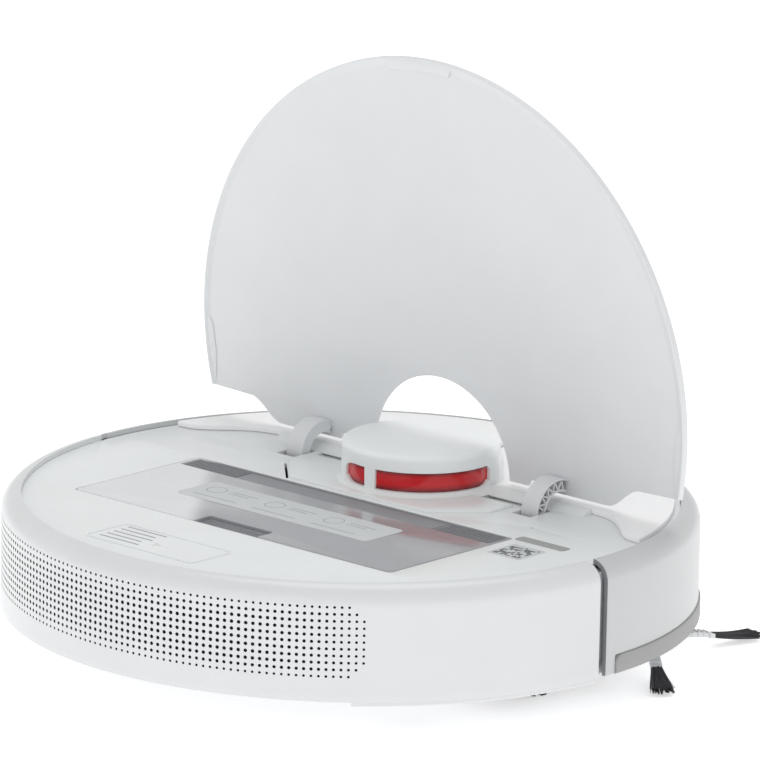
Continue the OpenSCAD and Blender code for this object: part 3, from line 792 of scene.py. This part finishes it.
def bin_outline():
    """Cover outline with the finger notch in its rear edge."""
    corners = rounded(-BIN_HALF_W, BIN_HALF_W, BIN_REAR_Y, BIN_FRONT_Y, 2)
    notch = [(-25, BIN_REAR_Y), (-25, -77.2)] + arc(-23.6, -77.2, 1.4, 180, 90, 5)
    notch += arc(16.6, -77.2, 1.4, 90, 0, 5) + [(18, BIN_REAR_Y)]
    return corners[:18] + notch + corners[18:]


def bin_cover():
    window = rounded(-104.9, 104.9, STRIP_REAR_Y, 0.3, 1)
    mesh = plate_mesh([bin_outline(), window], DECK_LOW + 0.6, DECK_Z, 0.35)
    put(as_object("bin_cover_plate", mesh, "smoky_cover"), "dustbin", "deck_grey", "dustbin_cover")


def bin_handle():
    """Dark strip along the front of the cover, with fine ribs at both ends."""
    meshes = [box_mesh(-104.7, 104.7, STRIP_REAR_Y + 0.2, 0.1, DECK_LOW + 0.7, DECK_Z - 0.75)]
    for sign in (-1, 1):
        for k in range(18):
            x = sign * (69 + 2 * k)
            meshes.append(box_mesh(x - 0.55, x + 0.55, -13.4, -0.9, DECK_Z - 1, DECK_Z - 0.25, 0.2))
    meshes.append(box_mesh(-66.5, 66.5, -13.6, -0.8, DECK_Z - 1, DECK_Z - 0.45, 0.2))
    piece = merged("bin_handle_strip", meshes, ["mid_grey"] * len(meshes))
    put(piece, "dustbin", "mid_grey", "dustbin_handle")


def bin_latch():
    """Ribbed finger recess in the rear edge."""
    meshes = [box_mesh(-24.8, 17.8, BIN_REAR_Y + 0.2, -75.9, DECK_LOW + 0.4, DECK_LOW + 1.2)]
    for k in range(6):
        y = BIN_REAR_Y + 1.2 + 1.75 * k
        meshes.append(box_mesh(-23.6, 16.6, y, y + 0.8, DECK_LOW + 1, DECK_LOW + 1.75, 0.2))
    piece = merged("bin_finger_recess", meshes, ["recess_grey"] * len(meshes))
    put(piece, "dustbin", "mid_grey", "dustbin_latch")


def bin_label():
    """Pale instruction strip with plain marks in place of its words and pictures."""
    top = DECK_Z + 0.14
    meshes = [plate_mesh([rounded(-68, 61, -56, -27, 3)], DECK_Z - 0.05, DECK_Z + 0.1, 0.04)]
    inks = ["label_pale"]
    for k in range(3):
        x = -56 + 40 * k
        ring = [circle(x, -38.5, 5.5, 32), circle(x, -38.5, 4.9, 32)]
        meshes.append(plate_mesh(ring, DECK_Z, top, 0.02, 0))
        meshes.append(box_mesh(x + 9, x + 26, -36.6, -35.8, DECK_Z, top, 0.02))
        meshes.append(box_mesh(x + 9, x + 22, -39.6, -38.8, DECK_Z, top, 0.02))
        meshes.append(box_mesh(x - 5, x + 24, -50.4, -49.6, DECK_Z, top, 0.02))
        inks += ["label_ink"] * 4
    put(merged("bin_label", meshes, inks), "dustbin", "deck_grey")


# ---------------------------------------------------------------- turret

POSTS = ((-92.3, -82.6), (85.5, 94.5), (145, 155), (25, 35))
LEFT_TIP = -118
LEFT_TAPER = -103
RIGHT_TIP = 14
POST_BOTTOM = 77.9
SILL_Z = 78.3
TIP_RISE = 5.6


def rounding(t):
    """Quarter round: 0 where t is 0, and 1 where t is 1."""
    return 1 - sqrt(max(1 - t**2, 0))


def wall_bottom(angle):
    """Height of the turret wall's lower edge: low at a post, high over a window."""
    a = (angle + 180) % 360 - 180
    if any(first < a < last for first, last in POSTS):
        return POST_BOTTOM
    if 8.5 < a < RIGHT_TIP:
        return WALL_HIGH - 4 * rounding((a - 8.5) / 5.5)
    if RIGHT_TIP <= a <= 25 or 35 <= a <= 40 or a <= LEFT_TIP or a > 155:
        return POST_BOTTOM
    if a < LEFT_TAPER:
        return WALL_HIGH - 4.4 * rounding((LEFT_TAPER - a) / (LEFT_TAPER - LEFT_TIP))
    return WALL_HIGH


def sill_height(angle):
    """Height of the windows' lower edge, which rises to the rounded tips at both ends."""
    a = (angle + 180) % 360 - 180
    if 1 < a < RIGHT_TIP:
        return SILL_Z + TIP_RISE * rounding((a - 1) / (RIGHT_TIP - 1))
    if LEFT_TIP < a < LEFT_TAPER:
        return SILL_Z + TIP_RISE * rounding((LEFT_TAPER - a) / (LEFT_TAPER - LEFT_TIP))
    return SILL_Z


def turret_angles():
    """Even turn round the turret, with close pairs at every jump of the wall's lower edge."""
    marks = {a for pair in POSTS for a in pair} | {RIGHT_TIP, 40, LEFT_TIP}
    turn = set(spread(-180, 178, 180)) | set(spread(8.5, 13.7, 12)) | set(spread(-117.8, LEFT_TAPER, 16))
    for mark in marks:
        turn |= {mark - 0.12, mark + 0.12}
    return sorted(turn)


def cap_section(angle):
    """Turret wall and top, in one closed section that ends on the axis."""
    low = wall_bottom(angle)
    edge = [(TOWER_R - 0.25, low), (TOWER_R, low + 0.25), (TOWER_R, max(low + 0.5, 85)),
            (TOWER_R, 90), (TOWER_R, 93.6)]
    brow = [(TOWER_R - 3 + 3 * cos(radians(t)), 93.6 + 3 * sin(radians(t))) for t in spread(10, 80, 8)]
    top = [(35, 96.75), (32, 97.05), (26, 97.35), (16, TOWER_TOP - 0.05), (0.01, TOWER_TOP)]
    under = [(0.01, 94.5), (30, 94.2), (38.35, 93), (38.35, low + 0.1)]
    return edge + brow + top + under


def ring_section(angle):
    """Flared foot of the turret, with its sill."""
    sill = sill_height(angle)
    return [(44.2, DECK_Z + 0.02), (44, 75.4), (43.4, 75.8), (42.6, 76), (41.6, 76.8), (40.6, 77.8),
            (40.3, sill - 0.2), (39.8, sill), (38.2, sill), (37.9, sill - 0.3), (37.9, DECK_Z + 0.02)]


def turret():
    cap = swept_mesh(turret_angles(), cap_section, TOWER_Y, True)
    ring = swept_mesh(spread(0, 358, 180), ring_section, TOWER_Y, True)
    housing = merged("turret_housing", [cap, ring], ["turret_white", "deck_grey"])
    put(housing, "root", "white_shell", "tower_housing")


def turret_window():
    def section(angle):
        return [(WINDOW_R, 75.6), (WINDOW_R, 94.2), (36.9, 94.2), (36.9, 75.6)]
    mesh = swept_mesh(spread(0, 357.5, 144), section, TOWER_Y, True)
    put(as_object("turret_window", mesh, "red_window"), "root", "red_window", "lidar_window")


def fairings():
    """Flared cheeks that stand against the turret's wall, one on each side of it."""
    def section(angle):
        into = smoothstep((min(angle % 180, 180 - angle % 180) - 14) / 10)
        foot = TOWER_R + 0.2 + 2.4 * into
        return [(38, DECK_Z + 0.02), (foot + 1.2, DECK_Z + 0.02), (foot, 76.5), (foot, 84),
                (TOWER_R + 0.2 + 1.2 * into, 90.8), (TOWER_R + 0.1 + 0.7 * into, 91.6), (38, 91.6)]
    for side, first, last in (("right", 14, 62), ("left", 118, 166)):
        mesh = swept_mesh(spread(first, last, 40), section, TOWER_Y)
        put(as_object(f"turret_cheek_{side}", mesh, "deck_grey"), "root", "white_shell")


# ---------------------------------------------------------------- lid and its arms


def opened(mesh):
    """Turns a mesh from the lid's closed place to its open one."""
    axis = Vector((0, HINGE_Y, HINGE_Z)) * MM
    turn = Matrix.Rotation(radians(-LID_OPEN), 4, "X")
    mesh.transform(Matrix.Translation(axis) @ turn @ Matrix.Translation(-axis))
    return mesh


def lid_edge():
    """Hinge-side edge on the right, from the turret notch out to the wing."""
    cut = [(57, LID_EDGE_Y)] + [(58.5 + 11 * t, LID_EDGE_Y - 3.4 * sqrt(max(1 - (2 * t - 1) ** 4, 0)))
                                for t in spread(0, 1, 11)] + [(71, LID_EDGE_Y)]
    curve = [(111 + 21 * t, LID_EDGE_Y - 11.5 * smoothstep(t)) for t in spread(0, 1, 13)]
    return cut + curve


def lid_outline():
    """Round plate with straight hinge side, wings and a notch for the turret."""
    side = lid_edge()
    tip = degrees(asin(LID_WING_Y / LID_R))
    right = side + arc(0, 0, LID_R, tip - 0.3, -89, 100)
    left = [(-x, y) for x, y in reversed(right)]
    notch = arc(0, LID_EDGE_Y, NOTCH_R, 180, 360, 60)
    return right + left + notch


def lid_flange(first, last):
    """Low rounded bead along the inside of the lid's round edge."""
    def section(angle):
        return [(LID_R - 4.6, LID_LOW + 0.3), (LID_R - 4.4, LID_LOW - 0.02), (LID_R - 3.2, LID_LOW - 0.25),
                (LID_R - 2.2, LID_LOW - 0.8), (LID_R - 1.4, LID_LOW - 1.15), (LID_R - 0.6, LID_LOW - 1.15),
                (LID_R - 0.1, LID_LOW - 0.7), (LID_R - 0.05, LID_LOW + 0.8)]
    return swept_mesh(spread(first, last, 160), section)


def grip_outline():
    """Thickened finger grip along the lid's free edge, a little to the left of its middle."""
    outer = arc(0, 0, LID_R - 0.9, -100.5, -84.8, 20)
    inner = arc(0, 0, LID_R - 6.6, -85.4, -99.9, 20)
    return outer + inner


def wing_step(sign):
    """Slightly thicker border inside each wing."""
    inner = [(155.9, 30.6), (155.4, 17.7), (157.2, 2.6), (160, -2)]
    outer = arc(0, 0, LID_R - 1.4, -2.5, 12.6, 12)
    return [(sign * x, y) for x, y in inner + outer]


def lid():
    tip = degrees(asin(LID_WING_Y / LID_R))
    parts = [plate_mesh([lid_outline()], LID_LOW, LID_HIGH, 0.7, 3)]
    parts.append(lid_flange(180 - tip + 0.4, 360 + tip - 0.4))
    parts.append(plate_mesh([grip_outline()], LID_LOW - 1.3, LID_LOW + 0.3, 0.5))
    for sign in (-1, 1):
        parts.append(plate_mesh([wing_step(sign)], LID_LOW - 0.5, LID_LOW + 0.3, 0.2))
    whole = merged("lid_shell", parts, ["lid_white"] * len(parts))
    opened(whole.data)
    put(whole, "lid", "lid_white", "lid_panel")


def arc_block(y, z, r_in, r_out, first, last, x0, x1, count=48, soften=0.3):
    """Curved bar about an axis along X, from an angle to an angle above the +Y direction."""
    s = soften
    section = [(r_in, x0 + s), (r_in + s, x0), (r_out - s, x0), (r_out, x0 + s),
               (r_out, x1 - s), (r_out - s, x1), (r_in + s, x1), (r_in, x1 - s)]
    points = []
    for a in spread(first, last, count):
        for r, x in section:
            points.append((x, y + r * cos(radians(a)), z + r * sin(radians(a))))
    faces = []
    for j in range(count - 1):
        for i in range(8):
            n = (i + 1) % 8
            faces.append((8 * j + i, 8 * j + n, 8 * j + 8 + n, 8 * j + 8 + i))
    faces += [tuple(range(8)), tuple(range(8 * count - 8, 8 * count))]
    return mesh_from("arc", points, faces)


def brace(angle_in, angle_out, x0, x1):
    """Straight web between the arm's inner and outer flanges."""
    half = 0.45
    points = []
    for r, a in ((ARM_IN_R + 0.8, angle_in), (ARM_OUT_R - 0.8, angle_out)):
        for side in (-1, 1):
            turn = radians(a + side * degrees(half / r))
            for x in (x0, x1):
                points.append((x, ARM_Y + r * cos(turn), ARM_Z + r * sin(turn)))
    faces = [(0, 1, 3, 2), (4, 6, 7, 5), (0, 4, 5, 1), (2, 3, 7, 6), (0, 2, 6, 4), (1, 5, 7, 3)]
    return mesh_from("brace", points, faces)


def hinge_arm(sign):
    """Goose-neck arm: two flanges, a web on its inner side and slanted braces between them."""
    x0 = ARM_X - ARM_W / 2
    x1 = ARM_X + ARM_W / 2
    y, z = ARM_Y, ARM_Z
    parts = [arc_block(y, z, ARM_OUT_R - 1.1, ARM_OUT_R, ARM_FIRST, ARM_LAST, x0, x1),
             arc_block(y, z, ARM_IN_R, ARM_IN_R + 1.1, ARM_FIRST - 8, ARM_LAST, x0, x1),
             arc_block(y, z, ARM_IN_R + 0.3, ARM_OUT_R - 0.3, ARM_FIRST - 4, ARM_LAST, x0 + 0.2, x0 + 2)]
    count = 7
    step = (ARM_LAST - ARM_FIRST - 6) / count
    for k in range(count):
        a = ARM_FIRST + 3 + step * k
        parts.append(brace(a, a + step / 2, x0 + 1, x1 - 0.6))
        parts.append(brace(a + step, a + step / 2, x0 + 1, x1 - 0.6))
    parts.append(arc_block(HINGE_Y, HINGE_Z, 2.2, 4, 0, 360, x0 + 0.6, x1 - 0.6, 25))
    parts.append(box_mesh(x0 + 0.6, x1 - 0.6, 46.5, HINGE_Y - 2.6, 65.2, 69.4))
    if sign < 0:
        for part in parts:
            part.transform(Matrix.Diagonal((-1, 1, 1, 1)))
    side = "right" if sign > 0 else "left"
    whole = merged(f"lid_arm_{side}", parts, ["lid_white"] * len(parts))
    put(whole, "lid", "lid_white", f"{side}_hinge_arm")


# ---------------------------------------------------------------- side brush


def brush_hub():
    """White hub with three ribbed stems."""
    turn = spread(0, 352.5, 48)

    def dome(angle):
        return [(0.01, 8), (8.4, 8), (9, 8.6), (9, 11.4), (8.3, 12.6), (6, 13.7), (3.6, 14),
                (3, 14.6), (3, 33), (0.01, 33)]
    parts = [swept_mesh(turn, dome, 0, True)]
    for a in BRUSH_ARMS:
        stem = [box_mesh(x, x + 4.2, -2.9, 2.9, 8.2, 10.6, 0.05) for x in spread(7, STEM_END - 4, 9)]
        stem.append(box_mesh(7, 14, -1, 1, 10, 11.5, 0.4))
        for k in range(9):
            x = 11 + 3.1 * k
            stem.append(box_mesh(x, x + 1, -2.7, 2.7, 10, 11.3, 0.2))
        for part in stem:
            for vertex in part.vertices:
                vertex.co.z -= STEM_DROP * MM * max((vertex.co.x / MM - 18) / (STEM_END - 18), 0) ** 2
            part.transform(Matrix.Rotation(radians(a), 4, "Z"))
        parts += stem
    for part in parts:
        part.transform(Matrix.Translation((BRUSH_X * MM, BRUSH_Y * MM, 0)))
    piece = merged("side_brush_stems", parts, ["brush_white"] * len(parts))
    put(piece, "side_brush", "brush_white", "side_brush_hub")


def filament(points, faces, start, end, sag, radius):
    """Adds one thin bristle that droops between its two ends."""
    first = len(points)
    steps = 7
    for k in range(steps):
        t = k / (steps - 1)
        x = start[0] + (end[0] - start[0]) * t
        y = start[1] + (end[1] - start[1]) * t
        z = start[2] + (end[2] - start[2]) * t**1.4 + sag * sin(pi * t)
        r = radius * (1 - 0.55 * t)
        points += [(x, y - r, z), (x, y, z - r), (x, y + r, z), (x, y, z + r)]
    for k in range(steps - 1):
        base = first + 4 * k
        for i in range(4):
            n = (i + 1) % 4
            faces.append((base + i, base + n, base + 4 + n, base + 4 + i))
    last = first + 4 * (steps - 1)
    faces += [(first, first + 3, first + 2, first + 1), (last, last + 1, last + 2, last + 3)]


def bristles():
    """Three tufts of separate bristles, each fanning out to its tip."""
    rng = random.Random(21)
    parts = []
    for a in BRUSH_ARMS:
        points = []
        faces = []
        for k in range(FILAMENTS):
            across = rng.uniform(-1, 1)
            layer = rng.uniform(-1, 1)
            reach = BRUSH_REACH - 2.2 * abs(across) - rng.uniform(0, 1.6)
            start = (STEM_END - 3, 2.1 * across, 6.7 + 0.9 * layer)
            end = (reach, 6 * across + rng.uniform(-0.3, 0.3), 3 + 1.5 * layer)
            filament(points, faces, start, end, rng.uniform(-1.3, -0.7), 0.4)
        mesh = mesh_from("tuft", points, faces)
        mesh.transform(Matrix.Rotation(radians(a), 4, "Z"))
        mesh.transform(Matrix.Translation((BRUSH_X * MM, BRUSH_Y * MM, 0)))
        parts.append(mesh)
    piece = merged("side_brush_tufts", parts, ["bristle"] * 3)
    put(piece, "side_brush", "bristle", "side_brush_bristles")


# ---------------------------------------------------------------- carried-over CAD parts


def finish_cad_nodes():
    """Gives every CAD node the material of its slot."""
    for entry in frame["record"]["subparts"]:
        node = NODES[entry["node"]]
        node.data.materials.clear()
        node.data.materials.append(MAT[entry["material_slot"]])


# ---------------------------------------------------------------- stage


def studio_floor():
    """Wide pale floor that stays plain out to the horizon."""
    material, tree, bsdf, vector = start_material("studio_floor")
    tree.links.new(tint(tree, vector, (0.86, 0.86, 0.86, 1), 0.004, 0.002), bsdf.inputs["Base Color"])
    tree.links.new(drive(tree, vector, 0.01, 0.85, 0.95), bsdf.inputs["Roughness"])
    bsdf.inputs["Emission Color"].default_value = (1, 1, 1, 1)
    bsdf.inputs["Emission Strength"].default_value = 0.55
    bm = bmesh.new()
    bmesh.ops.create_circle(bm, cap_ends=True, radius=9, segments=96)
    mesh = bpy.data.meshes.new("studio_floor")
    bm.to_mesh(mesh)
    bm.free()
    mesh.materials.append(material)
    floor = bpy.data.objects.new("studio_floor", mesh)
    bpy.context.scene.collection.objects.link(floor)


def area_light(name, place, aim, size, power):
    lamp = bpy.data.lights.new(name, "AREA")
    lamp.shape = "DISK"
    lamp.size = size
    lamp.energy = power
    holder = bpy.data.objects.new(name, lamp)
    holder.location = place
    holder.rotation_euler = (Vector(place) - Vector(aim)).to_track_quat("Z", "Y").to_euler()
    bpy.context.scene.collection.objects.link(holder)


def sky():
    """Pale surround, a little brighter near the horizon than overhead."""
    world = bpy.data.worlds.new("studio_sky")
    world.use_nodes = True
    tree = world.node_tree
    place = tree.nodes.new("ShaderNodeTexCoord")
    split = tree.nodes.new("ShaderNodeSeparateXYZ")
    height = add_node(tree, "ShaderNodeMapRange", From_Min=0.0, From_Max=0.8, To_Min=0.78, To_Max=0.66)
    tree.links.new(place.outputs["Generated"], split.inputs["Vector"])
    tree.links.new(split.outputs["Z"], height.inputs["Value"])
    tree.links.new(height.outputs["Result"], tree.nodes["Background"].inputs["Strength"])
    tree.nodes["Background"].inputs["Color"].default_value = (1, 1, 1, 1)
    bpy.context.scene.world = world


def camera():
    """Long lens to the rear right of the robot, looking down on its deck."""
    turn = radians(CAMERA_TURN)
    rise = radians(CAMERA_RISE)
    roll = radians(CAMERA_ROLL)
    back = Vector((sin(turn) * cos(rise), -cos(turn) * cos(rise), sin(rise)))
    right = Vector((cos(turn), sin(turn), 0))
    up = back.cross(right)
    side = cos(roll) * right + sin(roll) * up
    top = cos(roll) * up - sin(roll) * right
    foot = Vector((0, 0, CAMERA_FOOT_Z))
    eye = foot + CAMERA_DISTANCE * back
    aim = foot + CAMERA_AIM_RIGHT * side + CAMERA_AIM_UP * top
    z_axis = (eye - aim).normalized()
    x_axis = (side - side.dot(z_axis) * z_axis).normalized()
    y_axis = z_axis.cross(x_axis)
    lens = bpy.data.cameras.new("studio_camera")
    lens.lens = CAMERA_LENS
    lens.sensor_width = 36
    lens.clip_end = 60
    holder = bpy.data.objects.new("studio_camera", lens)
    place = Matrix((x_axis, y_axis, z_axis)).transposed().to_4x4()
    place.translation = eye
    holder.matrix_world = place
    bpy.context.scene.collection.objects.link(holder)
    bpy.context.scene.camera = holder


def studio():
    studio_floor()
    sky()
    camera()
    area_light("key_light", (0.7, -2.9, 1.4), (0, 0, 0.08), 1.8, 6)
    area_light("top_light", (-0.6, 0.9, 3.0), (0, 0.05, 0.08), 2.2, 24)
    bpy.context.scene.view_settings.view_transform = "Standard"


pierced_wall()
bumper()
bumper_strip()
lower_lip()
deck()
front_cover()
code_label()
deck_fittings()
bin_cover()
bin_handle()
bin_latch()
bin_label()
turret()
turret_window()
fairings()
lid()
hinge_arm(1)
hinge_arm(-1)
brush_hub()
bristles()
finish_cad_nodes()
studio()
